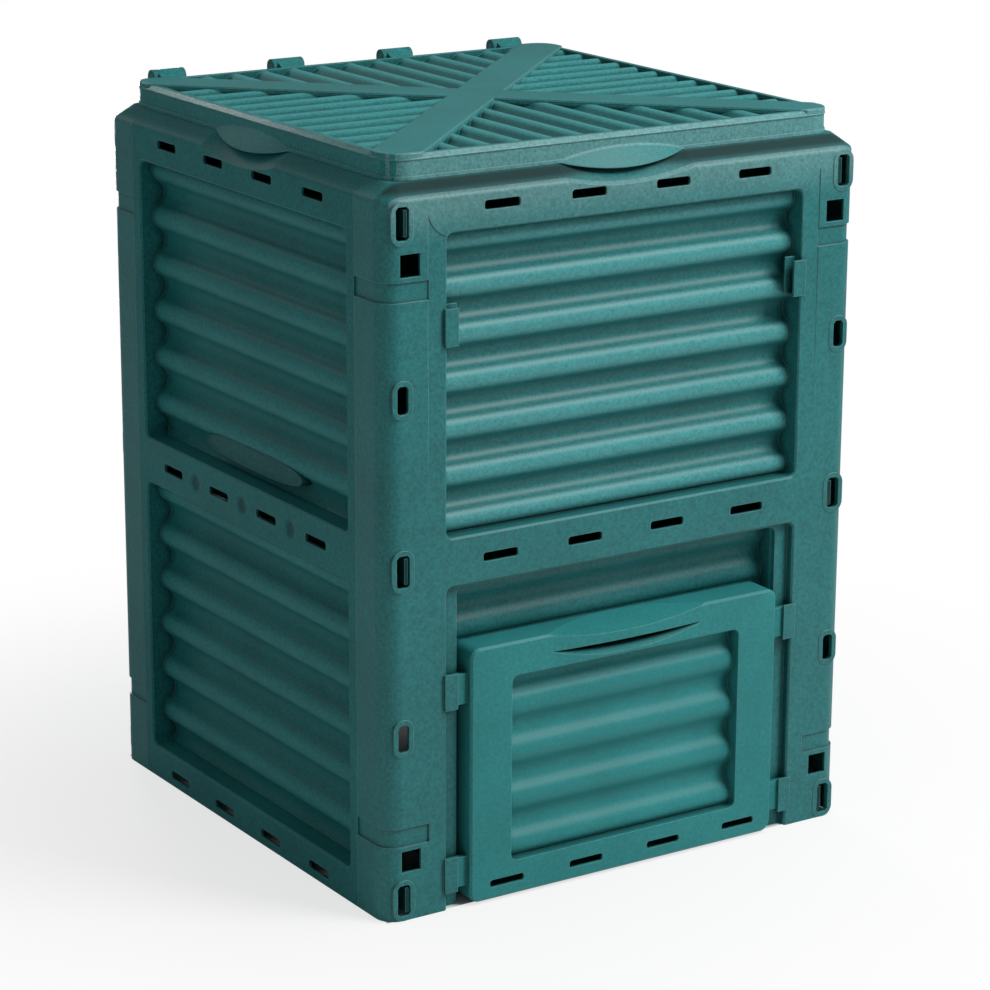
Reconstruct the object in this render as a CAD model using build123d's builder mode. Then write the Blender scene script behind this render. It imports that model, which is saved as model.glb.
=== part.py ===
"""Garden compost bin: four snap-together walls, a lid on hinge pins and a lift-off hatch.

Millimetres, +Z up. The origin is on the ground under the middle of the bin, and the front faces -Y.
Every wall is modelled as if it were the front one and then turned to its own side.
"""
import os
from math import hypot, sqrt

from build123d import *

# Body
body_width = 610.0
wall = 3.5
corner_radius = 22.0
post_width = 54.0
post_return = 59.0
seam_gap = 0.5

# Rails and corrugated fields, counted from the ground up
edge_rail = 39.0
mid_rail = 54.0
field_width = 458.0
field_height = 324.0
field_corner = 8.0
field_bevel = 2.0
field_lip = 1.5
strip_width = 23.0
strip_depth = 1.0
strip_round = 34.0
strip_shift = 1.0
strip_rise = 30.0
strip_fade = 310.0
dimple_width = 24.0
dimple_depth = 1.5
crest_depth = 16.0
trough_depth = 31.0
front_half_waves = 13
side_half_waves = 12

# Vent slots in the rails
vent_length = 44.0
vent_height = 10.0
vent_corner = 2.2
vent_pitch = 108.0
vent_count = 4
edge_vent_rise = 14.0

# Sloping shoulder and flat lip under the lid, with a finger dish in the front and both sides
shoulder_run = 19.0
shoulder_rise = 15.5
shoulder_round = 6.0
rim_corner = 12.0
lip_width = 24.0
dish_radius = 420.0
dish_depth = 8.0

# Openings in the corner posts
post_slot_inset = 22.0
post_slot_pitch = 183.4
large_slot = (16.0, 35.0)
small_slot = (13.5, 30.0)
slot_rim = 5.5
slot_rim_proud = 0.8
slot_corner = 3.0
square_hole = 24.0
square_inset = 31.5
square_rise = 323.0
band_height = 21.0
band_depth = 2.2
band_gap = 5.0

# Snap tongues of the side walls
tongue_clearance = 0.4
tongue_height = 40.0
tongue_root = 12.0
hook_height = 28.0
hook_thickness = 4.0
hook_offset = 4.0
hook_setback = 0.7

# Hatch and its seat in the front wall
hatch_width = 406.0
hatch_height = 289.0
hatch_lift_off_ground = 3.0
hatch_depth = 37.0
hatch_proud = 7.0
hatch_corner = 12.0
hatch_bevel = 2.5
hatch_field_width = 302.0
hatch_field_height = 212.0
hatch_field_rise = 39.0
hatch_crest_depth = 8.0
hatch_trough_depth = 20.0
hatch_half_waves = 8
hatch_vent_rise = 18.0
hatch_vent_height = 8.5
hatch_vent_pitch = 104.0
grip_width = 216.0
grip_dip = 12.0
grip_slot_width = 200.0
grip_slot_top_sag = 2.0
grip_slot_sag = 10.0
grip_lip_sag = 16.0
grip_slot_drop = 20.0
grip_dish_depth = 8.0
grip_boss_margin = 1.0
seat_clearance = 3.0
seat_swing = 8.0
seat_ledge = 18.0
seat_ledge_depth = 10.0
seat_ledge_top = 4.0
seat_half_waves = 3
seat_wave_height = 72.0
mouth_width = 370.0
mouth_sill = 30.0
mouth_head = 14.0

# Clips on the front wall and the hatch lugs behind them
clip_reach = 12.0
clip_foot = 4.0
clip_height = 37.0
clip_plate = 3.2
clip_shelf = 3.0
clip_shelf_depth = 12.0
clip_leaf = 2.5
clip_leaf_gap = 8.0
clip_leaf_reach = 16.0
clip_leaf_rise = 3.0
clip_rows = (23.0, 231.0)
spare_clip_rise = 626.0
lug_clearance = 0.6
lug_rest_gap = 0.3
lug_thickness = 6.0
lug_height = 34.0
lug_end_gap = 3.0

# Lid
lid_width = 568.0
lid_corner = 26.0
lid_height = 26.0
lid_rest_gap = 0.3
lid_rim = 1.0
lid_rim_height = 5.5
lid_bevel = 4.5
lid_bead_height = 4.0
lid_bead = 1.2
lid_border = 10.0
band_width = 56.0
band_proud = 1.5
band_step = 1.5
band_setback = 0.6
band_bevel = 0.8
lid_crest_depth = 1.5
lid_trough_depth = 8.5
lid_half_waves = 25
tab_width = 170.0
tab_reach = 15.0
tab_rise = 11.0
tab_drop = 11.3
tab_lift = 2.0

# Lid hinge
hinge_offset = 12.0
hinge_drop = 0.8
hinge_positions = (-232.0, -75.0, 75.0, 232.0)
knuckle_radius = 9.0
knuckle_width = 30.0
ear_thickness = 5.0
ear_gap = 0.4
pin_radius = 3.0
pin_clearance = 0.08
pin_head_radius = 5.0
pin_head = 2.0

# Places that follow from the sizes above
half = body_width / 2
face_height = 2 * edge_rail + 2 * field_height + mid_rail
middle_height = face_height / 2
lower_field = (edge_rail, edge_rail + field_height)
upper_field = (face_height - edge_rail - field_height, face_height - edge_rail)
rim_top = face_height + shoulder_rise
rim_half = half - shoulder_run
seam = half - post_return
front_face = -half
hatch_face = front_face - hatch_proud
hatch_back = hatch_face + hatch_depth
hatch_middle = hatch_lift_off_ground + hatch_height / 2
hatch_top = hatch_lift_off_ground + hatch_height
seat_depth = hatch_back - front_face + seat_clearance
lid_bottom = rim_top + lid_rest_gap
lid_top = lid_bottom + lid_height
lid_half = lid_width / 2
hinge_y = lid_half + hinge_offset
hinge_z = lid_top - hinge_drop
vent_places = [(i - (vent_count - 1) / 2) for i in range(vent_count)]


def wave_section(plane, face, low, high, crest, trough, half_waves, crest_first, flat_below=0):
    """Section of a waved sheet: equal arcs from low to high that meet half-way between crest and trough.

    Below the first arc the sheet can run on flat.
    """
    middle = face + (crest + trough) / 2
    swing = (trough - crest) / 2
    step = (high - low) / half_waves
    foot = low - flat_below
    with BuildSketch(plane) as section:
        with BuildLine():
            for depth in (middle, middle + wall):
                if flat_below:
                    Line((depth, foot), (depth, low))
                for i in range(half_waves):
                    is_crest = (i % 2 == 0) == crest_first
                    bulge = depth - swing if is_crest else depth + swing
                    start = low + i * step
                    ThreePointArc((depth, start), (bulge, start + step / 2), (depth, start + step))
            Line((middle, foot), (middle + wall, foot))
            Line((middle, high), (middle + wall, high))
        make_face()
    return section.sketch


def sunk_field(face, low, high, width, crest, trough, half_waves, crest_first=True, wave_low=None):
    """Window with a wall all round its inside and a corrugated sheet at the back, let half-way into it.

    Below wave_low the sheet is flat.
    """
    depth = trough + wall + field_lip
    plane = Plane.XZ.offset(-face)
    middle = (0, (low + high) / 2)
    sheet_low = low - wall / 2
    sheet_high = high + wall / 2
    wave_low = sheet_low if wave_low is None else wave_low
    with BuildSketch(plane) as surround:
        with Locations(middle):
            Rectangle(width + 2 * wall, high - low + 2 * wall)
    with BuildSketch(plane) as window:
        with Locations(middle):
            RectangleRounded(width, high - low, field_corner)
    section = wave_section(Plane.YZ.offset(-(width + wall) / 2), face, wave_low, sheet_high, crest, trough,
                           half_waves, crest_first, wave_low - sheet_low)
    extrude(surround.sketch, amount=-depth)
    extrude(window.sketch, amount=-depth, mode=Mode.SUBTRACT)
    extrude(section, amount=width + wall)


def vents(face, rise, height, pitch):
    """Row of vent slots cut through the face."""
    with BuildSketch(Plane.XZ.offset(-face)) as row:
        with Locations([(place * pitch, rise) for place in vent_places]):
            Rectangle(vent_length, height)
        chamfer(row.vertices(), vent_corner)
    extrude(row.sketch, amount=2 * wall, both=True, mode=Mode.SUBTRACT)


def post_openings():
    """Rimmed oblong slots and square holes in both posts of a front or rear wall."""
    slot_x = half - post_slot_inset
    for row in range(-2, 3):
        width, height = large_slot if row % 2 == 0 else small_slot
        places = [(side * slot_x, middle_height + row * post_slot_pitch) for side in (-1, 1)]
        with BuildSketch(Plane.XZ.offset(half + slot_rim_proud)) as rims:
            with Locations(places):
                RectangleRounded(width + 2 * slot_rim, height + 2 * slot_rim, width / 2 + slot_rim - 1)
        with BuildSketch(Plane.XZ.offset(half + slot_rim_proud)) as slots:
            with Locations(places):
                Rectangle(width, height)
            chamfer(slots.vertices(), slot_corner)
        extrude(rims.sketch, amount=-slot_rim_proud - wall / 2)
        extrude(slots.sketch, amount=-4 * wall, mode=Mode.SUBTRACT)
    with BuildSketch(Plane.XZ.offset(half)) as squares:
        with Locations((0, middle_height)):
            with GridLocations(2 * (half - square_inset), 2 * square_rise, 2, 2):
                Rectangle(square_hole, square_hole)
    extrude(squares.sketch, amount=2 * wall, both=True, mode=Mode.SUBTRACT)


def clip_back(side, rise):
    """Leaf behind a spare clip, which makes it a pocket for a lug."""
    with Locations((side * (field_width / 2 + wall / 2), front_face + clip_leaf_gap, rise - clip_shelf / 2)):
        Box(clip_leaf_reach + wall / 2, clip_leaf, clip_height + clip_shelf / 2 + clip_leaf_rise,
            align=(Align.MAX if side > 0 else Align.MIN, Align.MIN, Align.MIN))


def clip(side, rise):
    """Clip that overhangs one side of a field: a plate across the gap and a shelf under it."""
    edge = field_width / 2
    plate_x = edge + (clip_foot - clip_reach) / 2
    shelf_x = edge + (wall - clip_reach) / 2
    with Locations((side * plate_x, front_face - clip_plate / 2, rise + clip_height / 2)):
        Box(clip_reach + clip_foot, clip_plate, clip_height)
    with Locations((side * (edge + clip_foot / 2), front_face - clip_plate, rise + clip_height / 2)):
        Box(clip_foot - 2 * seam_gap, clip_plate + wall / 2, clip_height,
            align=(Align.CENTER, Align.MIN, Align.CENTER))
    with Locations((side * shelf_x, front_face + (clip_shelf_depth - clip_plate) / 2, rise)):
        Box(clip_reach + wall, clip_shelf_depth + clip_plate, clip_shelf,
            align=(Align.CENTER, Align.CENTER, Align.MAX))


def tongue(side, row):
    """Snap tongue at one end of a side wall: a leaf behind the post and a hook that turns into its slot."""
    level = middle_height + row * post_slot_pitch
    leaf_face = front_face + wall + tongue_clearance
    leaf_end = half - corner_radius
    hook_y = front_face + post_slot_inset + hook_offset
    leaf_root = seam - tongue_root
    with Locations((side * (seam - seam_gap - tongue_root / 2), leaf_face + wall, level)):
        Box(tongue_root, 2 * wall, tongue_height, align=(Align.CENTER, Align.MAX, Align.CENTER))
    with Locations((side * (leaf_root + leaf_end) / 2, leaf_face, level)):
        Box(leaf_end - leaf_root, wall, tongue_height, align=(Align.CENTER, Align.MIN, Align.CENTER))
    with Locations((side * (leaf_end - hook_thickness / 2), leaf_face, level)):
        Box(hook_thickness, hook_y + hook_thickness / 2 - leaf_face, hook_height,
            align=(Align.CENTER, Align.MIN, Align.CENTER))
    hook_end = half - hook_setback
    with Locations((side * (leaf_end - hook_thickness + hook_end) / 2, hook_y, level)):
        Box(hook_end - leaf_end + hook_thickness, hook_thickness, hook_height)


def window_edges(panel, low, high):
    """Front edges of a field's window, which are bevelled."""
    on_face = panel.edges().filter_by_position(Axis.Y, front_face - 0.01, front_face + 0.01)
    inside = [edge for edge in on_face if abs(edge.center().X) < field_width / 2 + 0.01]
    return [edge for edge in inside if low - 0.01 < edge.center().Z < high + 0.01]


# Hollow shell of all four walls, with the shoulder, the lip under the lid and the finger dishes
slope = hypot(shoulder_run, shoulder_rise) / shoulder_run
under_shoulder = face_height + wall * (shoulder_rise / shoulder_run - slope)
under_lip = rim_top - wall
under_lip_half = half - (under_lip - face_height + wall * slope) * shoulder_run / shoulder_rise
dish_distance = half - shoulder_run / 2 + (dish_radius - dish_depth) * shoulder_rise / (slope * shoulder_run)
dish_level = face_height + shoulder_rise / 2 + (dish_radius - dish_depth) / slope
band_level = square_rise - square_hole / 2 - band_gap - band_height / 2
band_floor = body_width - 2 * band_depth

with BuildPart() as hollow:
    with BuildSketch():
        RectangleRounded(body_width - 2 * wall, body_width - 2 * wall, corner_radius - wall)
    extrude(amount=under_shoulder)
    with BuildSketch(Plane.XY.offset(under_shoulder)):
        RectangleRounded(body_width - 2 * wall, body_width - 2 * wall, corner_radius - wall)
    with BuildSketch(Plane.XY.offset(under_lip)):
        RectangleRounded(2 * under_lip_half, 2 * under_lip_half, rim_corner)
    loft()
    with Locations((0, 0, dish_level)):
        with PolarLocations(dish_distance, 3, start_angle=180, angular_range=180, endpoint=True):
            Sphere(dish_radius + wall, mode=Mode.SUBTRACT)

with BuildPart() as band_groove:
    with BuildSketch():
        Rectangle(body_width + 2 * wall, body_width + 2 * wall)
        RectangleRounded(band_floor, band_floor, corner_radius - band_depth, mode=Mode.SUBTRACT)
    extrude(amount=band_height / 2, both=True)
    Box(2 * (half - post_width), 2 * body_width, 2 * band_height, mode=Mode.SUBTRACT)
    Box(2 * body_width, 2 * seam, 2 * band_height, mode=Mode.SUBTRACT)

with BuildPart() as band_backing:
    with BuildSketch():
        RectangleRounded(band_floor, band_floor, corner_radius - band_depth)
        RectangleRounded(band_floor - 2 * wall, band_floor - 2 * wall, corner_radius - band_depth - wall,
                         mode=Mode.SUBTRACT)
    extrude(amount=band_height / 2 + wall, both=True)
    Box(2 * (half - post_width - wall), 2 * body_width, 2 * body_width, mode=Mode.SUBTRACT)
    Box(2 * body_width, 2 * (seam + seam_gap), 2 * body_width, mode=Mode.SUBTRACT)

with BuildPart() as shell:
    with BuildSketch():
        RectangleRounded(body_width, body_width, corner_radius)
    extrude(amount=face_height)
    with BuildSketch(Plane.XY.offset(face_height)):
        RectangleRounded(body_width, body_width, corner_radius)
    with BuildSketch(Plane.XY.offset(rim_top)):
        RectangleRounded(2 * rim_half, 2 * rim_half, rim_corner)
    loft()
    fillet(shell.edges().filter_by_position(Axis.Z, face_height, face_height), shoulder_round)
    with Locations((0, 0, dish_level)):
        with PolarLocations(dish_distance, 3, start_angle=180, angular_range=180, endpoint=True):
            Sphere(dish_radius, mode=Mode.SUBTRACT)
    add(hollow.part, mode=Mode.SUBTRACT)
    with BuildSketch():
        Rectangle(2 * (rim_half - lip_width), 2 * (rim_half - lip_width))
    extrude(amount=rim_top, mode=Mode.SUBTRACT)
    with Locations((0, 0, middle_height - band_level), (0, 0, middle_height + band_level)):
        add(band_backing.part)
        add(band_groove.part, mode=Mode.SUBTRACT)

# Shallow strip beside the upper field, cut off by the rounded end of the top rail and fading out downwards
strip_inner = field_width / 2 - field_corner / 2
strip_outer = field_width / 2 + strip_width
strip_centre = (strip_outer - strip_round + strip_shift, upper_field[1] + strip_rise)
strip_bend = [(x, strip_centre[1] - sqrt(strip_round ** 2 - (x - strip_centre[0]) ** 2))
              for x in (strip_outer, (strip_outer + strip_inner) / 2, strip_inner)]
strip_low = strip_bend[0][1] - strip_fade

with BuildPart() as stile_strip:
    with BuildSketch(Plane.XZ.offset(half + strip_depth)):
        with BuildLine():
            Polyline(strip_bend[2], (strip_inner, strip_low), (strip_outer, strip_low), strip_bend[0])
            ThreePointArc(*strip_bend)
        make_face()
    extrude(amount=-2 * strip_depth)
    with BuildSketch(Plane.YZ):
        Polygon((front_face - strip_depth, strip_low), (front_face, strip_low),
                (front_face + strip_depth, strip_bend[0][1]),
                (front_face - strip_depth, strip_bend[0][1]), align=None)
    extrude(amount=half, mode=Mode.INTERSECT)

# Front wall: one moulding with both front posts, a corrugated field, the seat of the hatch and its clips
seat_sheet = front_face + seat_depth + seat_swing / 2
seat_floor = lower_field[1] - seat_wave_height
seat_low = -2 * field_corner
seat_width = field_width - 2 * seat_ledge
ledge_face = front_face + seat_ledge_depth
seat_crest = seat_depth - seat_ledge_depth

with BuildPart() as front_panel:
    add(shell.part)
    with Locations((0, -seam - seam_gap / 2, 0)):
        Box(2 * body_width, body_width, 4 * body_width, align=(Align.CENTER, Align.MAX, Align.CENTER),
            mode=Mode.INTERSECT)
    sunk_field(front_face, *upper_field, field_width, crest_depth, trough_depth, front_half_waves)
    with BuildSketch(Plane.XZ.offset(half)):
        with Locations((0, (seat_low + lower_field[1]) / 2)):
            Rectangle(field_width + 2 * wall, lower_field[1] - seat_low + 2 * wall)
    extrude(amount=-seat_ledge_depth - wall)
    with BuildSketch(Plane.XZ.offset(half)):
        with Locations((0, (seat_low + lower_field[1]) / 2)):
            RectangleRounded(field_width, lower_field[1] - seat_low, field_corner)
    extrude(amount=-seat_ledge_depth, mode=Mode.SUBTRACT)
    sunk_field(ledge_face, seat_low, lower_field[1] - seat_ledge_top, seat_width, seat_crest,
               seat_crest + seat_swing, seat_half_waves, wave_low=seat_floor)
    with BuildSketch(Plane.XZ.offset(-seat_sheet)):
        with Locations((0, mouth_sill)):
            Rectangle(mouth_width, seat_floor - mouth_head - mouth_sill, align=(Align.CENTER, Align.MIN))
    extrude(amount=2 * wall, both=True, mode=Mode.SUBTRACT)
    split(bisect_by=Plane.XY, keep=Keep.TOP)
    chamfer(window_edges(front_panel, *upper_field), field_bevel)
    chamfer(window_edges(front_panel, 0, lower_field[1]), field_bevel)
    add(stile_strip.part, mode=Mode.SUBTRACT)
    mirror(stile_strip.part, about=Plane.YZ, mode=Mode.SUBTRACT)
    vents(front_face, middle_height, vent_height, vent_pitch)
    vents(front_face, face_height - edge_vent_rise, vent_height, vent_pitch)
    post_openings()
    for side in (-1, 1):
        for rise in (*clip_rows, spare_clip_rise):
            clip(side, rise)
        clip_back(side, spare_clip_rise)

# Rear wall: the same moulding with two closed fields and the hinge ears
ear_places = [place + side * (knuckle_width + ear_thickness + 2 * ear_gap) / 2
              for place in hinge_positions for side in (-1, 1)]
ear_foot = [half - wall / 2, rim_half + wall / 2]
ear_foot_level = [face_height + (half - y) * shoulder_rise / shoulder_run - wall / 2 for y in ear_foot]

with BuildPart() as rear_wall:
    add(shell.part, rotation=(0, 0, 180))
    with Locations((0, -seam - seam_gap / 2, 0)):
        Box(2 * body_width, body_width, 4 * body_width, align=(Align.CENTER, Align.MAX, Align.CENTER),
            mode=Mode.INTERSECT)
    for low, high in (lower_field, upper_field):
        sunk_field(front_face, low, high, field_width, crest_depth, trough_depth, front_half_waves)
        chamfer(window_edges(rear_wall, low, high), field_bevel)
    for rise in (edge_vent_rise, middle_height, face_height - edge_vent_rise):
        vents(front_face, rise, vent_height, vent_pitch)
    post_openings()
    for place in ear_places:
        with BuildSketch(Plane.YZ.offset(place)):
            with Locations((-hinge_y, hinge_z)):
                Circle(knuckle_radius)
            Polygon((-hinge_y - knuckle_radius, hinge_z), (-ear_foot[0], ear_foot_level[0]),
                    (-ear_foot[1], ear_foot_level[1]), (-hinge_y + knuckle_radius, hinge_z), align=None)
            with Locations((-hinge_y, hinge_z)):
                Circle(pin_radius + pin_clearance, mode=Mode.SUBTRACT)
        extrude(amount=ear_thickness / 2, both=True)

with BuildPart() as rear_panel:
    add(rear_wall.part, rotation=(0, 0, 180))

# Side wall: flat between the posts, with three shallow dimples, held by snap tongues behind the posts
dimple_sphere = ((dimple_width / 2) ** 2 + dimple_depth ** 2) / (2 * dimple_depth)

with BuildPart() as side_wall:
    add(shell.part)
    Box(2 * (seam - seam_gap / 2), body_width, 4 * body_width,
        align=(Align.CENTER, Align.MAX, Align.CENTER), mode=Mode.INTERSECT)
    for low, high in (lower_field, upper_field):
        sunk_field(front_face, low, high, field_width, crest_depth, trough_depth, side_half_waves, False)
        chamfer(window_edges(side_wall, low, high), field_bevel)
    for rise in (edge_vent_rise, middle_height, face_height - edge_vent_rise):
        vents(front_face, rise, vent_height, vent_pitch)
    with Locations([(place * vent_pitch, front_face + dimple_depth - dimple_sphere, middle_height)
                    for place in (-1, 0, 1)]):
        Sphere(dimple_sphere, mode=Mode.SUBTRACT)
    for side in (-1, 1):
        for row in (-2, 0, 2):
            tongue(side, row)

with BuildPart() as left_panel:
    add(side_wall.part, rotation=(0, 0, -90))

with BuildPart() as right_panel:
    add(side_wall.part, rotation=(0, 0, 90))

# Hatch: an open-backed tray with a corrugated field, a scooped grip and two hanging lugs on each side
grip_run = hypot(hatch_depth, grip_dip)
grip_dir = (0, hatch_depth, grip_dip)
grip_slot_level = hatch_top - grip_slot_drop
lug_end = field_width / 2 - lug_end_gap
lug_root = hatch_width / 2 - wall / 2
hatch_field_low = hatch_lift_off_ground + hatch_field_rise
hatch_field_high = hatch_field_low + hatch_field_height
grip_dish_dir = (0, grip_dish_depth, grip_lip_sag - grip_slot_sag)
grip_dish_run = 1.5 * hypot(grip_dish_depth, grip_lip_sag - grip_slot_sag)


def crescent(top_sag, low_sag):
    """Outline on the hatch's face between two sagging arcs that meet at the ends of the grip."""
    left_end = (-grip_slot_width / 2, grip_slot_level)
    right_end = (grip_slot_width / 2, grip_slot_level)
    with BuildSketch(Plane.XZ.offset(-hatch_face)) as outline:
        with BuildLine():
            ThreePointArc(left_end, (0, grip_slot_level - low_sag), right_end)
            ThreePointArc(right_end, (0, grip_slot_level - top_sag), left_end)
        make_face()
    return outline.sketch


with BuildPart() as grip_dish:
    extrude(crescent(grip_slot_sag, grip_lip_sag), amount=grip_dish_run, dir=grip_dish_dir)
    extrude(crescent(grip_slot_top_sag, grip_lip_sag), amount=-2 * grip_dish_depth, mode=Mode.INTERSECT)

with BuildPart() as hatch_void:
    with BuildSketch(Plane.XZ.offset(-hatch_face - wall)):
        with Locations((0, hatch_middle)):
            RectangleRounded(hatch_width - 2 * wall, hatch_height - 2 * wall, hatch_corner - wall)
    extrude(amount=-hatch_depth)
    with BuildSketch(Plane.XZ.offset(-hatch_face)):
        with BuildLine():
            ThreePointArc((-grip_width / 2, hatch_top - wall), (0, hatch_top - grip_dip - wall),
                          (grip_width / 2, hatch_top - wall))
            Polyline((grip_width / 2, hatch_top - wall), (grip_width / 2, hatch_top),
                     (-grip_width / 2, hatch_top), (-grip_width / 2, hatch_top - wall))
        make_face()
    extrude(amount=grip_run, dir=grip_dir, mode=Mode.SUBTRACT)
    with Locations((0, hatch_face, hatch_field_high + grip_boss_margin)):
        Box(grip_slot_width + 2 * wall, grip_dish_depth, hatch_height,
            align=(Align.CENTER, Align.MIN, Align.MIN), mode=Mode.SUBTRACT)

with BuildPart() as hatch:
    with BuildSketch(Plane.XZ.offset(-hatch_face)):
        with Locations((0, hatch_middle)):
            RectangleRounded(hatch_width, hatch_height, hatch_corner)
    extrude(amount=-hatch_depth)
    chamfer(hatch.edges().filter_by_position(Axis.Y, hatch_face, hatch_face), hatch_bevel)
    with BuildSketch(Plane.XZ.offset(-hatch_face)):
        with BuildLine():
            ThreePointArc((-grip_width / 2, hatch_top), (0, hatch_top - grip_dip),
                          (grip_width / 2, hatch_top))
            Line((grip_width / 2, hatch_top), (-grip_width / 2, hatch_top))
        make_face()
    extrude(amount=grip_run, dir=grip_dir, mode=Mode.SUBTRACT)
    add(hatch_void.part, mode=Mode.SUBTRACT)
    extrude(crescent(grip_slot_top_sag, grip_slot_sag), amount=-2 * grip_dish_depth, mode=Mode.SUBTRACT)
    add(grip_dish.part, mode=Mode.SUBTRACT)
    sunk_field(hatch_face, hatch_field_low, hatch_field_high, hatch_field_width,
               hatch_crest_depth, hatch_trough_depth, hatch_half_waves)
    vents(hatch_face, hatch_lift_off_ground + hatch_vent_rise, hatch_vent_height, hatch_vent_pitch)
    for side in (-1, 1):
        for rise in clip_rows:
            lug_place = (side * (lug_root + lug_end) / 2, front_face + lug_clearance, rise + lug_rest_gap)
            with Locations(lug_place):
                Box(lug_end - lug_root, lug_thickness, lug_height,
                    align=(Align.CENTER, Align.MIN, Align.MIN))

# Lid: a shallow tray with four corrugated triangles between crossed bands, finger tabs and hinge knuckles
apex = band_width / sqrt(2)
base = lid_half - lid_border
lid_sheet_end = base - apex + 2 * wall
lid_sheet_depth = lid_trough_depth + wall + field_lip
tab_edge = lid_bottom + tab_lift
tab_under = ((tab_width / 2) ** 2 / tab_rise - tab_rise) / 2
tab_back = ((tab_under + tab_rise) ** 2 - (tab_under - tab_drop) ** 2 - tab_reach ** 2) / (2 * tab_reach)
tab_radius = hypot(tab_back, tab_under + tab_rise)

with BuildSketch() as triangle:
    Polygon((0, -apex), (apex - base, -base), (base - apex, -base), align=None)

with BuildSketch() as triangle_rim:
    add(triangle.sketch)
    offset(amount=wall, kind=Kind.INTERSECTION)

with BuildSketch() as triangle_seat:
    add(triangle.sketch)
    offset(amount=wall / 2, kind=Kind.INTERSECTION)

with BuildPart() as lid_sheet:
    section = wave_section(Plane((0, -apex / 2, 0), x_dir=(0, 0, -1), z_dir=(0, -1, 0)), -lid_top,
                           -lid_sheet_end, lid_sheet_end, lid_crest_depth, lid_trough_depth,
                           lid_half_waves, True)
    extrude(section, amount=base)
    extrude(triangle_seat.sketch, amount=lid_top, mode=Mode.INTERSECT)

with BuildPart() as finger_tab:
    with Locations((0, tab_back - lid_half, tab_edge - tab_under)):
        Sphere(tab_radius)
        Sphere(tab_radius - wall, mode=Mode.SUBTRACT)
    with BuildSketch(Plane.YZ):
        Polygon((wall / 2 - lid_half, tab_edge), (wall / 2 - lid_half, lid_top),
                (-lid_half - tab_reach, lid_top), (-lid_half - tab_reach, tab_edge - tab_drop),
                (-lid_half, tab_edge), align=None)
    extrude(amount=tab_width / 2, both=True, mode=Mode.INTERSECT)

rim_width = lid_width + 2 * lid_rim
band_outline = rim_width - 2 * band_setback

with BuildPart() as lid_bands:
    with BuildSketch(Plane.XY.offset(lid_top + band_proud)):
        Rectangle(2 * lid_width, band_width - 2 * band_step, rotation=45)
        Rectangle(2 * lid_width, band_width - 2 * band_step, rotation=-45)
        RectangleRounded(band_outline, band_outline, lid_corner, mode=Mode.INTERSECT)
    extrude(amount=-band_proud - wall)
    chamfer(lid_bands.faces().sort_by(Axis.Z)[-1].edges(), band_bevel)

with BuildPart() as lid:
    with BuildSketch(Plane.XY.offset(lid_bottom)):
        RectangleRounded(lid_width, lid_width, lid_corner)
    extrude(amount=lid_height)
    with BuildSketch(Plane.XY.offset(lid_top - lid_rim_height)):
        RectangleRounded(rim_width, rim_width, lid_corner + lid_rim)
    extrude(amount=lid_rim_height)
    chamfer(lid.faces().sort_by(Axis.Z)[-1].edges(), lid_bevel)
    with BuildSketch(Plane.XY.offset(lid_bottom)):
        RectangleRounded(lid_width - 2 * wall, lid_width - 2 * wall, lid_corner - wall)
    extrude(amount=lid_height - wall, mode=Mode.SUBTRACT)
    with BuildSketch(Plane.XY.offset(lid_bottom)):
        RectangleRounded(lid_width + 2 * lid_bead, lid_width + 2 * lid_bead, lid_corner + lid_bead)
        RectangleRounded(lid_width - wall, lid_width - wall, lid_corner - wall / 2, mode=Mode.SUBTRACT)
    extrude(amount=lid_bead_height)
    for angle in (0, 90, 180, 270):
        field_plane = Plane.XY.offset(lid_top).rotated((0, 0, angle))
        extrude(field_plane * triangle_rim.sketch, amount=-lid_sheet_depth)
        extrude(field_plane * triangle.sketch, amount=-lid_sheet_depth, mode=Mode.SUBTRACT)
        add(lid_sheet.part, rotation=(0, 0, angle))
    add(lid_bands.part)
    for angle in (0, 90, 270):
        add(finger_tab.part, rotation=(0, 0, angle))
    for place in hinge_positions:
        with BuildSketch(Plane.YZ.offset(place)):
            with Locations((hinge_y, hinge_z)):
                Circle(knuckle_radius)
            Polygon((lid_half - lid_border, lid_top - wall / 2), (hinge_y, hinge_z + knuckle_radius),
                    (hinge_y, hinge_z - knuckle_radius), (lid_half - wall, hinge_z - knuckle_radius),
                    align=None)
            with Locations((hinge_y, hinge_z)):
                Circle(pin_radius + pin_clearance, mode=Mode.SUBTRACT)
        extrude(amount=knuckle_width / 2, both=True)

# Hinge pins: a headed pin through each pair of ears and the knuckle between them
pin_length = knuckle_width + 2 * (ear_thickness + ear_gap)
pins = []
for place in hinge_positions:
    with BuildPart() as hinge_pin:
        with BuildSketch(Plane.YZ.offset(place - pin_length / 2)):
            with Locations((hinge_y, hinge_z)):
                Circle(pin_radius)
        extrude(amount=pin_length)
        with BuildSketch(Plane.YZ.offset(place + pin_length / 2)):
            with Locations((hinge_y, hinge_z)):
                Circle(pin_head_radius)
        extrude(amount=pin_head)
    pins.append(hinge_pin)

# Named pieces
pieces = {"front_panel": front_panel, "rear_panel": rear_panel, "left_panel": left_panel,
          "right_panel": right_panel, "hatch": hatch, "lid": lid}
for number, hinge_pin in enumerate(pins, start=1):
    pieces[f"hinge_pin_{number}"] = hinge_pin
os.makedirs("parts", exist_ok=True)
for name, piece in pieces.items():
    piece.part.label = name
    export_step(piece.part, f"parts/{name}.step")
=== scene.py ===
"""Looks of a garden compost bin: moulded plastic finishes, a bare oval plate, a studio stage and a camera."""
import math

import bmesh
import bpy
import numpy as np
from mathutils import Matrix, Vector


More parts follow.
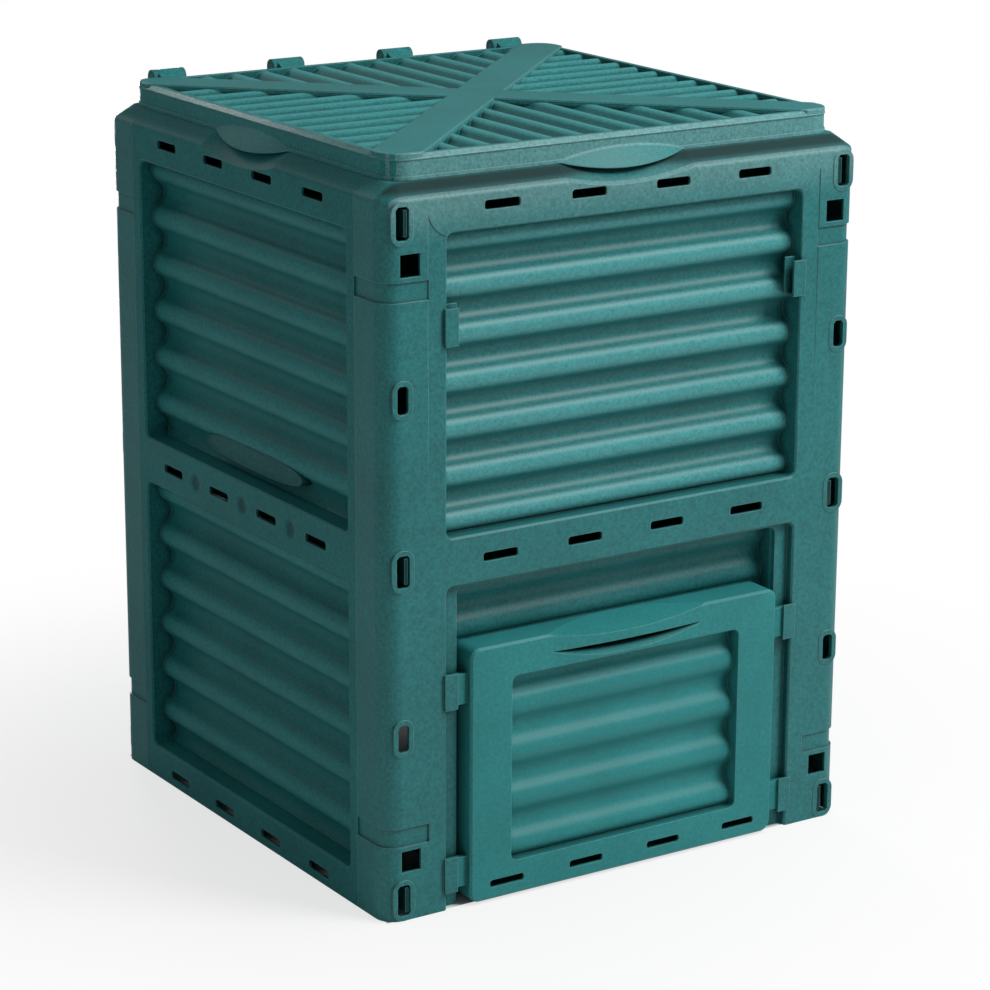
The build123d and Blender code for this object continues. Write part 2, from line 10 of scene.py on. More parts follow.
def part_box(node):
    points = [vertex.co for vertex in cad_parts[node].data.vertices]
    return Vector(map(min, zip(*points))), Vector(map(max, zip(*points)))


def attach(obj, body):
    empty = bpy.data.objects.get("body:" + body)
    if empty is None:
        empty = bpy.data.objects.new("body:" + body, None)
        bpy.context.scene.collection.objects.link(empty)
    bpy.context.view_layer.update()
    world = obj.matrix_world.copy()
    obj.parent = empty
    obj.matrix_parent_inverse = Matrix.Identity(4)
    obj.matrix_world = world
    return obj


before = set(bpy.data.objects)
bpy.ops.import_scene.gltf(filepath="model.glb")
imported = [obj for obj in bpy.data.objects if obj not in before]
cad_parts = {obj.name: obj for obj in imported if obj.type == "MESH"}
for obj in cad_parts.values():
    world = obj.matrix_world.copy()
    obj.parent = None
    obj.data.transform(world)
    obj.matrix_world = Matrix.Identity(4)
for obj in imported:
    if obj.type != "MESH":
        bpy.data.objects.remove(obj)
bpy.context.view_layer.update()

bl_info = {
    "name": "Compost bin",
    "version": (1, 0, 0),
    "blender": (4, 5, 0),
    "location": "View3D > Sidebar > Compost bin",
    "description": "Plastic finishes, oval plate and stage of a garden compost bin",
    "category": "Object",
}

END_NODES = ("front_panel", "rear_panel")
SIDE_NODES = ("left_panel", "right_panel")
PIN_NODES = ("hinge_pin_1", "hinge_pin_2", "hinge_pin_3", "hinge_pin_4")

# Zones of the finish, in metres. Z is a height above the ground, Y a place from front to back, and OUT
# a distance from the bin's middle line along X or Y. A pair is a ramp, from its start to its full strength
# Shoulder under the lid: the lid's shadow is painted onto its front, and its roughness is raised there
SHOULDER_Z = (0.7785, 0.7890)
SHOULDER_FRONT_Y = (-0.282, -0.288)
TOP_RAIL_Z = (0.725, 0.778)
TOP_RAIL_FACE_Y = -0.3005
MID_RAIL_Z = 0.390
MID_RAIL_HALF = 0.014
# Dimples of the side walls' mid rail and tongues in the posts' slots, which both get painted shade
DIMPLE_OUT = (0.3049, 0.3040)
DIMPLE_FLOOR_OUT = 0.3032
TONGUE_OUT = 0.270

# Windows of the walls and the crests of their corrugated sheets, where a highlight is painted on
CREST_OUT = (0.2820, 0.2889)
SHEET_FRONT_OUT = 0.2892
WINDOW_HALF_WIDTH = 0.2265
WINDOW_FROM_MID_RAIL = 0.189
WINDOW_HALF_HEIGHT = 0.159

# Lid: its ribbed field, the troughs and ribs in it, the rim and the skirt; shade is painted into the troughs,
# a highlight on the ribs and light on the skirt's front
FIELD_OUT = 0.2738
LID_TROUGH_Z = (0.8200, 0.8140)
RIB_Z = (0.8165, 0.8202)
RIB_TOP_Z = 0.8206
RIM_OUT = 0.2800
RIM_Z = 0.8172
SKIRT_INNER_OUT = 0.2785
SKIRT_OUTER_OUT = 0.2856
SKIRT_FRONT_Y = -0.2700

# Noises of the plastic as scale, detail and roughness, the part of their values in use, and what it gives
CLOUD_NOISE = (9.0, 3.0, 0.55)
MOTTLE_NOISE = (300.0, 3.0, 0.6)
GRAIN_NOISE = (900.0, 2.0, 0.5)
NOISE_RANGE = (0.3, 0.7)
CLOUD_SHADE = (0.90, 1.08)
MOTTLE_SHADE = (-0.22, 0.22)
MOTTLE_ROUGHNESS = (0.40, 0.52)
SHOULDER_DULLING = 0.45
RIM_ROUGHNESS = 0.20

# Nooks, darkened with painted shade and found by how open the surface is, and paler edges, partly wear and
# partly a painted highlight, found by how far the rounded normal leaves the true one
NOOK_SAMPLES = 8
NOOK_DISTANCE = 0.014
NOOK_OPENNESS = (0.35, 0.90)
NOOK_SHADE = (0.38, 1.0)
EDGE_SAMPLES = 6
EDGE_AGREEMENT = (0.995, 0.90)
EDGE_WEAR_AND_HIGHLIGHT = (0.0, 0.60)
# Colours mixed in: a painted highlight on crests and ribs, painted light on front faces, and paler edges
PAINTED_HIGHLIGHT_COLOUR = (0.10, 0.42, 0.43, 1.0)
PAINTED_LIGHT_COLOUR = (0.42, 0.60, 0.60, 1.0)
EDGE_WEAR_AND_HIGHLIGHT_COLOUR = (0.16, 0.36, 0.36, 1.0)

# Upper corrugated sheet of a side wall, in metres: heights above the ground and depths behind the wall's face
SHEET_LOW = 0.41525
SHEET_HIGH = 0.74275
SHEET_HALF_WAVES = 12
CREST_DEPTH = 0.016
TROUGH_DEPTH = 0.031

# Oval plate: points round it, squareness of the oval, and how far it is let into the sheet
PLATE_SIDES = 96
PLATE_POWER = 0.8
PLATE_SEAT = 0.0015
MERGE_DISTANCE = 1e-6

# Section of the oval plate as lines inside its outline: floor lines with their share of the sink, rim lines
# with their depth below the rim's top, and back lines
PLATE_FLOOR = ((0.0032, 1.0), (0.0022, 0.8))
PLATE_RIM = ((0.0014, 0.0002), (0.0006, 0.0), (0.0, 0.0004), (-0.0004, 0.0016))
PLATE_BACK = (-0.0006, 0.0024, 0.0060, 0.0095)

# Soft boxes by name: place, width and height in metres, and the angle of their spread
SOFT_BOXES = {
    "key": ((1.40, -2.00, 2.80), (1.3, 1.3), math.pi),
    "top": ((1.30, -0.60, 2.90), (0.9, 0.9), math.pi),
    "rim": ((-0.70, 2.10, 1.90), (1.6, 0.14), math.pi),
    "left": ((-2.60, -0.40, 1.30), (1.4, 1.4), math.pi),
    "rear": ((0.75, 2.90, 0.45), (0.8, 0.6), math.radians(50.0)),
}
LIGHT_TARGET = Vector((0.0, 0.0, 0.45))
CAMERA_TARGET = Vector((0.0, 0.0, 0.4))
SENSOR_WIDTH = 36.0

# Floor and world: the paper goes from its shaded share to plain white between the two distances
FLOOR_REACH = 30.0
PAPER_COLOUR = (0.86, 0.86, 0.86, 1.0)
PAPER_ROUGHNESS = 0.9
PAPER_GLOSS = 0.1
PAPER_FADE = (0.30, 1.10)
PAPER_WHITE = (0.70, 1.0)
BIN_FOOT_OUT = 0.301
WORLD_COLOUR = (1.0, 1.0, 1.0, 1.0)
REFLECTED_WORLD = 0.12


class BinFinish(bpy.types.PropertyGroup):
    """Colours and surface of the moulded plastic."""

    wall_colour: bpy.props.FloatVectorProperty(
        name="Wall colour", description="Colour of the four walls", subtype="COLOR", size=3,
        default=(0.016, 0.144, 0.147), min=0.0, max=1.0)
    lid_colour: bpy.props.FloatVectorProperty(
        name="Lid colour", description="Colour of the lid", subtype="COLOR", size=3,
        default=(0.019, 0.172, 0.175), min=0.0, max=1.0)
    hatch_colour: bpy.props.FloatVectorProperty(
        name="Hatch colour", description="Colour of the hatch", subtype="COLOR", size=3,
        default=(0.024, 0.200, 0.203), min=0.0, max=1.0)
    plate_colour: bpy.props.FloatVectorProperty(
        name="Plate colour", description="Colour of the oval plate", subtype="COLOR", size=3,
        default=(0.016, 0.105, 0.107), min=0.0, max=1.0)
    pin_colour: bpy.props.FloatVectorProperty(
        name="Pin colour", description="Colour of the hinge pins", subtype="COLOR", size=3,
        default=(0.016, 0.120, 0.122), min=0.0, max=1.0)
    grain_height: bpy.props.FloatProperty(
        name="Grain height", description="Height of the moulded leather-like grain", default=0.00006,
        min=0.0, max=0.001, unit="LENGTH", precision=6)
    edge_round: bpy.props.FloatProperty(
        name="Edge rounding", description="Radius by which the moulded edges look rounded", default=0.0011,
        min=0.0, max=0.005, unit="LENGTH", precision=5)


class BinPlate(bpy.types.PropertyGroup):
    """Bare oval plate at the foot of the left wall's upper window."""

    length: bpy.props.FloatProperty(
        name="Plate length", description="Along the wall", default=0.212, min=0.01, unit="LENGTH")
    height: bpy.props.FloatProperty(
        name="Plate height", description="Up the wall", default=0.026, min=0.005, unit="LENGTH")
    rise: bpy.props.FloatProperty(
        name="Plate rise", description="Middle of the plate above the ground", default=0.440, min=0.0,
        unit="LENGTH")
    depth: bpy.props.FloatProperty(
        name="Plate depth", description="Plate's rim behind the wall's face", default=0.0155, min=0.0,
        unit="LENGTH")
    sink: bpy.props.FloatProperty(
        name="Plate sink", description="Floor of the plate below its rim", default=0.0012, min=0.0,
        unit="LENGTH")


class BinStage(bpy.types.PropertyGroup):
    """Camera and light."""

    distance: bpy.props.FloatProperty(
        name="Camera distance", description="From the camera to the middle of the bin", default=3.838,
        min=0.5, max=20.0, unit="LENGTH")
    azimuth: bpy.props.FloatProperty(
        name="Azimuth", description="Turn of the camera round the bin", default=math.radians(-33.123),
        subtype="ANGLE")
    elevation: bpy.props.FloatProperty(
        name="Elevation", description="Height of the camera above the horizon", default=math.radians(16.12),
        subtype="ANGLE")
    roll: bpy.props.FloatProperty(
        name="Roll", description="Turn of the camera about its view axis", default=math.radians(0.298),
        subtype="ANGLE")
    aim: bpy.props.FloatVectorProperty(
        name="Aim", description="Sideways and upwards offset of the view", size=2, default=(-0.0242, 0.0428),
        subtype="XYZ", unit="LENGTH")
    lens: bpy.props.FloatProperty(
        name="Lens", description="Focal length on a 36 mm sensor", default=121.04, min=10.0, max=500.0)
    key_power: bpy.props.FloatProperty(
        name="Key light", description="Power of the soft box at the front right", default=101.0, min=0.0,
        unit="POWER")
    top_power: bpy.props.FloatProperty(
        name="Top light", description="Power of the soft box overhead", default=10.0, min=0.0, unit="POWER")
    rim_power: bpy.props.FloatProperty(
        name="Rim light", description="Power of the soft box behind the bin", default=5.0, min=0.0,
        unit="POWER")
    left_power: bpy.props.FloatProperty(
        name="Left light", description="Power of the weak soft box at the left", default=4.5, min=0.0,
        unit="POWER")
    rear_power: bpy.props.FloatProperty(
        name="Rear light", description="Power of the soft box that faces the rear wall", default=6.0, min=0.0,
        unit="POWER")
    fill: bpy.props.FloatProperty(
        name="Fill", description="Strength of the even light on matte surfaces", default=0.225, min=0.0,
        max=1.0)


class Graph:
    """Adds nodes to a shader tree. A value is an output socket or a number, and each call gives a socket."""

    def __init__(self, tree):
        self.tree = tree

    def node(self, kind, **settings):
        """New shader node of a kind, with its settings."""
        node = self.tree.nodes.new(f"ShaderNode{kind}")
        for setting, value in settings.items():
            setattr(node, setting, value)
        return node

    def feed(self, socket, value):
        """Link a socket to an output, or set it to a number or a colour."""
        if isinstance(value, bpy.types.NodeSocket):
            self.tree.links.new(value, socket)
        else:
            socket.default_value = value

    def math(self, operation, *values, clamp=False):
        """Result of a maths operation."""
        node = self.node("Math", operation=operation, use_clamp=clamp)
        for socket, value in zip(node.inputs, values):
            self.feed(socket, value)
        return node.outputs["Value"]

    def product(self, first, *others):
        """All values multiplied in turn."""
        for other in others:
            first = self.math("MULTIPLY", first, other)
        return first

    def below(self, value, limit):
        """1 where the value is under the limit, else 0."""
        return self.math("LESS_THAN", value, limit)

    def above(self, value, limit):
        """1 where the value is over the limit, else 0."""
        return self.math("GREATER_THAN", value, limit)

    def ramp(self, value, source, target=(0.0, 1.0), smooth=False):
        """Value carried from the source pair to the target pair, straight or smooth, held at both ends."""
        node = self.node("MapRange", interpolation_type="SMOOTHSTEP" if smooth else "LINEAR")
        names = ("Value", "From Min", "From Max", "To Min", "To Max")
        for name, part in zip(names, (value, *source, *target)):
            self.feed(node.inputs[name], part)
        return node.outputs["Result"]

    def vector(self, operation, *vectors, output="Vector"):
        """Result of a vector operation."""
        node = self.node("VectorMath", operation=operation)
        for socket, vector in zip(node.inputs, vectors):
            self.feed(socket, vector)
        return node.outputs[output]

    def axes(self, vector):
        """X, Y and Z of a vector."""
        node = self.node("SeparateXYZ")
        self.feed(node.inputs["Vector"], vector)
        return tuple(node.outputs)

    def noise(self, place, scale, detail, roughness):
        """Noise at a place."""
        node = self.node("TexNoise")
        names = ("Vector", "Scale", "Detail", "Roughness")
        for name, value in zip(names, (place, scale, detail, roughness)):
            self.feed(node.inputs[name], value)
        return node.outputs["Fac"]

    def colours(self, share, first, second, blend="MIX"):
        """First colour, with a share of the second blended in."""
        node = self.node("Mix", data_type="RGBA", blend_type=blend)
        sockets = [socket for socket in node.inputs if socket.type == "RGBA"]
        self.feed(node.inputs["Factor"], share)
        self.feed(sockets[0], first)
        self.feed(sockets[1], second)
        return next(socket for socket in node.outputs if socket.type == "RGBA")

    def values(self, share, first, second):
        """First value, with a share of the second blended in."""
        node = self.node("Mix", data_type="FLOAT")
        for name, value in (("Factor", share), ("A", first), ("B", second)):
            self.feed(node.inputs[name], value)
        return node.outputs["Result"]


class SurfacePlace:
    """Sockets that say where a point of the surface is on the bin."""

    def __init__(self, graph):
        self.point = graph.node("TexCoord").outputs["Object"]
        _, self.y, self.z = graph.axes(self.point)
        self.out_x, self.out_y, _ = graph.axes(graph.vector("ABSOLUTE", self.point))
        self.farther = graph.math("MAXIMUM", self.out_x, self.out_y)
        self.nearer = graph.math("MINIMUM", self.out_x, self.out_y)
        self.off_mid_rail = graph.math("ABSOLUTE", graph.math("SUBTRACT", self.z, MID_RAIL_Z))


def front_shoulder_mask(graph, place, shoulder):
    """Front part of the shoulder under the lid, where the lid's shadow is painted in."""
    return graph.product(shoulder, graph.ramp(place.y, SHOULDER_FRONT_Y))


def lid_field_mask(graph, place):
    """Ribbed field of the lid, inside its rim."""
    return graph.below(place.farther, FIELD_OUT)


def lid_trough_mask(graph, place):
    """Bottoms of the troughs between the lid's ribs, where shade is painted in."""
    return graph.product(graph.ramp(place.z, LID_TROUGH_Z), lid_field_mask(graph, place))


def lid_rib_mask(graph, place):
    """Tops of the lid's ribs, under the level of the crossed bands, where a highlight is painted on."""
    field = graph.product(graph.below(place.z, RIB_TOP_Z), lid_field_mask(graph, place))
    return graph.product(graph.ramp(place.z, RIB_Z, smooth=True), field)


def lid_rim_mask(graph, place):
    """Outer edge of the lid's top."""
    return graph.product(graph.above(place.farther, RIM_OUT), graph.above(place.z, RIM_Z))


def front_skirt_mask(graph, place):
    """Front side of the lid's skirt, where light is painted on."""
    inner = graph.above(place.farther, SKIRT_INNER_OUT)
    outer = graph.below(place.farther, SKIRT_OUTER_OUT)
    return graph.product(inner, outer, graph.below(place.y, SKIRT_FRONT_Y))


def tongue_mask(graph, place):
    """Snap tongues of the side walls, in the slots of the posts, where the slots' shade is painted in."""
    return graph.above(place.out_y, TONGUE_OUT)


def dimple_mask(graph, place):
    """Dimples along the mid rail of a side wall, where shade is painted in."""
    on_rail = graph.below(place.off_mid_rail, MID_RAIL_HALF)
    outside = graph.above(place.out_x, DIMPLE_FLOOR_OUT)
    return graph.product(graph.ramp(place.out_x, DIMPLE_OUT), graph.product(on_rail, outside))


def top_rail_mask(graph, place):
    """Front face of the top rail, stronger towards its top, where light is painted on."""
    return graph.product(graph.ramp(place.z, TOP_RAIL_Z, smooth=True), graph.below(place.y, TOP_RAIL_FACE_Y))


def crest_mask(graph, place):
    """Crests of the corrugated sheets, inside the walls' windows, where a highlight is painted on."""
    in_height = graph.math("COMPARE", place.off_mid_rail, WINDOW_FROM_MID_RAIL, WINDOW_HALF_HEIGHT)
    window = graph.product(graph.below(place.nearer, WINDOW_HALF_WIDTH), in_height)
    sheet = graph.product(window, graph.below(place.farther, SHEET_FRONT_OUT))
    return graph.product(graph.ramp(place.farther, CREST_OUT, smooth=True), sheet)


def nook_shade(graph):
    """Shade that darkens where the piece's own surface closes in on itself."""
    nook = graph.node("AmbientOcclusion", samples=NOOK_SAMPLES, only_local=True)
    graph.feed(nook.inputs["Distance"], NOOK_DISTANCE)
    return graph.ramp(nook.outputs["AO"], NOOK_OPENNESS, NOOK_SHADE)


def surface_sockets(group):
    """Inputs and outputs of the plastic's node group."""
    shares = ("Grain height", "Edge rounding", "Shoulder shade", "Rim polish", "Trough grime", "Skirt fade",
              "Top rail fade", "Tongue grime", "Crest rub", "Rib rub", "Dimple grime", "Mottle")
    group.interface.new_socket("Colour", in_out="INPUT", socket_type="NodeSocketColor")
    for share in shares:
        group.interface.new_socket(share, in_out="INPUT", socket_type="NodeSocketFloat")
    for name, kind in (("Colour", "Color"), ("Roughness", "Float"), ("Normal", "Vector")):
        group.interface.new_socket(name, in_out="OUTPUT", socket_type=f"NodeSocket{kind}")


def plastic_surface_group():
    """Node group of the moulded plastic: a cloudy tint, fine grain, paler edges and painted shade in nooks.

    Tint is a slow noise times a fast mottle, darkened by painted shade in each shaded zone by its share: the
    lid's shadow on the front of the shoulder, the lid's troughs, the tongues in the posts' slots, the side
    walls' dimples and the nooks. It is then mixed with a painted highlight colour on crests and ribs, a
    painted light colour on the front of the lid's skirt and the top of the front rail, and the paler one on
    the edges, which is partly wear and partly a painted highlight.
    """
    group = bpy.data.node_groups.new("moulded plastic surface", "ShaderNodeTree")
    surface_sockets(group)
    graph = Graph(group)
    share = group.nodes.new("NodeGroupInput").outputs
    leave = group.nodes.new("NodeGroupOutput").inputs
    place = SurfacePlace(graph)
    cloud = graph.noise(place.point, *CLOUD_NOISE)
    mottle = graph.noise(place.point, *MOTTLE_NOISE)
    grain = graph.noise(place.point, *GRAIN_NOISE)
    shoulder = graph.ramp(place.z, SHOULDER_Z, smooth=True)

    mottled = graph.math("MULTIPLY_ADD", graph.ramp(mottle, NOISE_RANGE, MOTTLE_SHADE), share["Mottle"], 1.0)
    shade = graph.product(graph.ramp(cloud, NOISE_RANGE, CLOUD_SHADE), mottled)
    # Painted shade: the lid's shadow on the shoulder's front, shade in the lid's troughs, in the posts' slots
    # over the tongues and in the dimples
    painted_shade_zones = {
        "Shoulder shade": front_shoulder_mask(graph, place, shoulder),
        "Trough grime": lid_trough_mask(graph, place),
        "Tongue grime": tongue_mask(graph, place),
        "Dimple grime": dimple_mask(graph, place),
    }
    for name, mask in painted_shade_zones.items():
        shade = graph.product(shade, graph.math("SUBTRACT", 1.0, graph.product(mask, share[name])))
    # Painted shade in the nooks
    shade = graph.product(shade, nook_shade(graph))
    colour = graph.colours(1.0, share["Colour"], shade, blend="MULTIPLY")

    # Painted highlight on the crests of the walls' sheets and the tops of the lid's ribs
    crest_rub = graph.product(crest_mask(graph, place), share["Crest rub"])
    painted_highlight = graph.math("MULTIPLY_ADD", lid_rib_mask(graph, place), share["Rib rub"], crest_rub)
    colour = graph.colours(graph.product(painted_highlight, mottled), colour, PAINTED_HIGHLIGHT_COLOUR)
    # Painted light on the front of the lid's skirt and the top of the front rail, which face the key light
    skirt_fade = graph.product(front_skirt_mask(graph, place), share["Skirt fade"])
    painted_light = graph.math("MULTIPLY_ADD", top_rail_mask(graph, place), share["Top rail fade"], skirt_fade)
    colour = graph.colours(graph.product(painted_light, mottled), colour, PAINTED_LIGHT_COLOUR)

    # Paler edges: partly wear and partly a painted highlight
    edge = graph.node("Bevel", samples=EDGE_SAMPLES)
    graph.feed(edge.inputs["Radius"], share["Edge rounding"])
    rounded = edge.outputs["Normal"]
    true_normal = graph.node("NewGeometry").outputs["Normal"]
    agreement = graph.vector("DOT_PRODUCT", rounded, true_normal, output="Value")
    colour = graph.colours(graph.ramp(agreement, EDGE_AGREEMENT, EDGE_WEAR_AND_HIGHLIGHT), colour, EDGE_WEAR_AND_HIGHLIGHT_COLOUR)
    graph.feed(leave["Colour"], colour)

    rough = graph.ramp(mottle, NOISE_RANGE, MOTTLE_ROUGHNESS)
    # Roughness is raised where the shoulder's shade is painted, so that it reflects less
    shaded_shoulder = graph.product(shoulder, share["Shoulder shade"])
    rough = graph.math("MULTIPLY_ADD", shaded_shoulder, SHOULDER_DULLING, rough, clamp=True)
    polish = graph.product(lid_rim_mask(graph, place), share["Rim polish"])
    graph.feed(leave["Roughness"], graph.values(polish, rough, RIM_ROUGHNESS))

    bump = graph.node("Bump")
    bumps = (("Strength", 1.0), ("Distance", share["Grain height"]), ("Height", grain), ("Normal", rounded))
    for name, value in bumps:
        graph.feed(bump.inputs[name], value)
    graph.feed(leave["Normal"], bump.outputs["Normal"])
    return group


def plastic(name, colour, finish, group, gloss, **shares):
    """Moulded plastic in one colour and gloss, with its shares of the surface group's effects by name."""
    material = bpy.data.materials.new(name)
    material.use_nodes = True
    nodes, links = material.node_tree.nodes, material.node_tree.links
    shader = nodes["Principled BSDF"]
    shader.inputs["Specular IOR Level"].default_value = gloss
    surface = nodes.new("ShaderNodeGroup")
    surface.node_tree = group
    surface.inputs["Colour"].default_value = (*colour, 1.0)
    surface.inputs["Grain height"].default_value = finish.grain_height
    surface.inputs["Edge rounding"].default_value = finish.edge_round
    for effect, share in shares.items():
        surface.inputs[effect.capitalize().replace("_", " ")].default_value = share
    for output, socket in (("Colour", "Base Color"), ("Roughness", "Roughness"), ("Normal", "Normal")):
        links.new(surface.outputs[output], shader.inputs[socket])
    return material


def dress(nodes, material):
    """Give CAD nodes their finish."""
    for node in nodes:
        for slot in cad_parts[node].material_slots:
            slot.material = material


class BIN_OT_finishes(bpy.types.Operator):
    """Give the walls, lid, hatch and pins their moulded plastic"""

    bl_idname = "compost_bin.finishes"
    bl_label = "Plastic finishes"

    def execute(self, context):
        finish = context.scene.compost_bin_finish
        group = plastic_surface_group()
        # Shares by name: painted shade on shoulder, troughs, tongues and dimples, painted highlight on crests
        # and ribs, painted light on top rail and skirt
        end_walls = plastic("wall plastic", finish.wall_colour, finish, group, gloss=0.31, mottle=1.2,
                            shoulder_shade=0.80, top_rail_fade=0.16, crest_rub=0.40)
        side_walls = plastic("side wall plastic", finish.wall_colour, finish, group, gloss=0.12, mottle=1.2,
                             shoulder_shade=0.5, tongue_grime=0.75, crest_rub=0.14, dimple_grime=0.5)
        lid = plastic("lid plastic", finish.lid_colour, finish, group, gloss=0.18, mottle=1.4, rim_polish=1.0,
                      trough_grime=0.45, rib_rub=0.30, skirt_fade=0.17)
        hatch = plastic("hatch plastic", finish.hatch_colour, finish, group, gloss=0.18, mottle=0.6)
        pins = plastic("pin plastic", finish.pin_colour, finish, group, gloss=0.40, mottle=1.0)
        plastic("plate plastic", finish.plate_colour, finish, group, gloss=0.12, mottle=1.5)
        dress(END_NODES, end_walls)
        dress(SIDE_NODES, side_walls)
        dress(("lid",), lid)
        dress(("hatch",), hatch)
        dress(PIN_NODES, pins)
        return {"FINISHED"}


def closed_skin(name, points, material):
    """Mesh object of a grid of points whose columns run round; rows that meet in a line are merged."""
    rows, columns = points.shape[:2]
    row = np.arange(rows - 1)[:, None]
    column = np.arange(columns)[None, :]
    after = (column + 1) % columns
    faces = np.stack([row * columns + column, row * columns + after,
                      (row + 1) * columns + after, (row + 1) * columns + column], axis=-1).reshape(-1, 4)
    mesh = bpy.data.meshes.new(name)
    mesh.from_pydata(points.reshape(-1, 3).tolist(), [], faces.tolist())
    shell = bmesh.new()
    shell.from_mesh(mesh)
    bmesh.ops.remove_doubles(shell, verts=shell.verts, dist=MERGE_DISTANCE)
    bmesh.ops.recalc_face_normals(shell, faces=shell.faces)
    shell.to_mesh(mesh)
    shell.free()
    mesh.polygons.foreach_set("use_smooth", np.ones(len(mesh.polygons), dtype=bool))
    mesh.materials.append(material)
    mesh.update()
    piece = bpy.data.objects.new(name, mesh)
    bpy.context.scene.collection.objects.link(piece)
    return piece


def side_sheet_depth(height):
    """Depth of the upper corrugated sheet of a side wall behind the wall's face, at a height.

    The sheet is a row of equal arcs, a trough first and then a crest in turn, that meet half-way between.
    """
    step = (SHEET_HIGH - SHEET_LOW) / SHEET_HALF_WAVES
    count = np.floor((height - SHEET_LOW) / step)
    offset = height - SHEET_LOW - (count + 0.5) * step
    swing = (TROUGH_DEPTH - CREST_DEPTH) / 2
    radius = ((step / 2) ** 2 + swing ** 2) / (2 * swing)
    bulge = np.sqrt(radius ** 2 - offset ** 2) - (radius - swing)
    return (CREST_DEPTH + TROUGH_DEPTH) / 2 + np.where(count % 2 == 0, bulge, -bulge)


def squared(wave):
    """Wave of a superellipse: a sine or cosine with its size raised to the plate's power."""
    return np.sign(wave) * np.abs(wave) ** PLATE_POWER


def oval_plate(plate, material):
    """Oval plate: a section of floor, rim, side and back, carried round an oval.

    The oval is a superellipse, so its long sides run nearly straight. The section goes from the middle line
    of the floor out to the rim, over it, and back to the middle line inside the corrugated sheet behind.
    """
    wall_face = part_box("left_panel")[0][0]
    turn = np.linspace(0.0, 2.0 * np.pi, PLATE_SIDES, endpoint=False)
    half = plate.height / 2
    middle = [(half, plate.sink), (half / 2, plate.sink)]
    floor = [(inset, plate.sink * share) for inset, share in PLATE_FLOOR]
    front_inset, front_depth = np.array([*middle, *floor, *PLATE_RIM]).T
    inset = np.array([*front_inset, *PLATE_BACK, half])
    y = (plate.length / 2 - inset)[:, None] * squared(np.cos(turn))[None, :]
    z = plate.rise + (half - inset)[:, None] * squared(np.sin(turn))[None, :]
    front = np.broadcast_to((plate.depth + front_depth)[:, None], (len(front_inset), PLATE_SIDES))
    back = side_sheet_depth(z[len(front_inset):]) + PLATE_SEAT
    x = wall_face + np.concatenate([front, back])
    return closed_skin("oval_plate", np.stack([x, y, z], axis=-1), material)


class BIN_OT_plate(bpy.types.Operator):
    """Make the bare oval plate on the left wall"""

    bl_idname = "compost_bin.plate"
    bl_label = "Oval plate"

    def execute(self, context):
        piece = oval_plate(context.scene.compost_bin_plate, bpy.data.materials["plate plastic"])
        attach(piece, "bin")
        return {"FINISHED"}


def soft_box(name, place, size, power, spread):
    """Rectangular soft box that looks from its place at the middle of the bin."""
    lamp = bpy.data.lights.new(name, "AREA")
    lamp.shape = "RECTANGLE"
    lamp.size, lamp.size_y = size
    lamp.energy = power
    lamp.spread = spread
    light = bpy.data.objects.new(name, lamp)
    light.location = place
    light.rotation_euler = (LIGHT_TARGET - Vector(place)).to_track_quat("-Z", "Y").to_euler()
    light.visible_camera = False
    bpy.context.scene.collection.objects.link(light)


def pale_paper():
    """Matte paper of the floor: it keeps the shadow near the bin and goes to plain white further out."""
    material = bpy.data.materials.new("pale paper")
    material.use_nodes = True
    nodes = material.node_tree.nodes
    graph = Graph(material.node_tree)
    paper = nodes["Principled BSDF"]
    graph.feed(paper.inputs["Base Color"], PAPER_COLOUR)
    graph.feed(paper.inputs["Roughness"], PAPER_ROUGHNESS)
    graph.feed(paper.inputs["Specular IOR Level"], PAPER_GLOSS)
    point = graph.node("TexCoord").outputs["Object"]
    distance = graph.vector("LENGTH", point, output="Value")
    white = graph.ramp(distance, PAPER_FADE, PAPER_WHITE, smooth=True)
    out_x, out_y, _ = graph.axes(graph.vector("ABSOLUTE", point))
    outside = graph.above(graph.math("MAXIMUM", out_x, out_y), BIN_FOOT_OUT)
    seen = graph.node("LightPath").outputs["Is Camera Ray"]
    plain = graph.node("Emission").outputs["Emission"]
    mix = graph.node("MixShader")
    for socket, part in zip(mix.inputs, (graph.product(white, outside, seen), paper.outputs["BSDF"], plain)):
        graph.feed(socket, part)
    graph.feed(nodes["Material Output"].inputs["Surface"], mix.outputs["Shader"])
    return material


def paper_floor():
    """Square sheet of pale paper under the bin."""
    reach = FLOOR_REACH
    mesh = bpy.data.meshes.new("floor")
    corners = [(-reach, -reach, 0), (reach, -reach, 0), (reach, reach, 0), (-reach, reach, 0)]
    mesh.from_pydata(corners, [], [(0, 1, 2, 3)])
    mesh.materials.append(pale_paper())
    floor = bpy.data.objects.new("floor", mesh)
    bpy.context.scene.collection.objects.link(floor)
    return floor


def studio_world(fill):
    """World that is white to the camera and through glass, weak in reflections and an even fill elsewhere."""
    world = bpy.data.worlds.new("studio")
    world.use_nodes = True
    graph = Graph(world.node_tree)
    path = graph.node("LightPath").outputs
    mirrored = graph.product(path["Is Glossy Ray"], REFLECTED_WORLD)
    direct = graph.math("MAXIMUM", path["Is Camera Ray"], path["Is Transmission Ray"])
    shown = graph.math("MAXIMUM", direct, mirrored)
    sky = world.node_tree.nodes["Background"].inputs
    graph.feed(sky["Color"], WORLD_COLOUR)
    graph.feed(sky["Strength"], graph.ramp(shown, (0.0, 1.0), (fill, 1.0)))
    return world


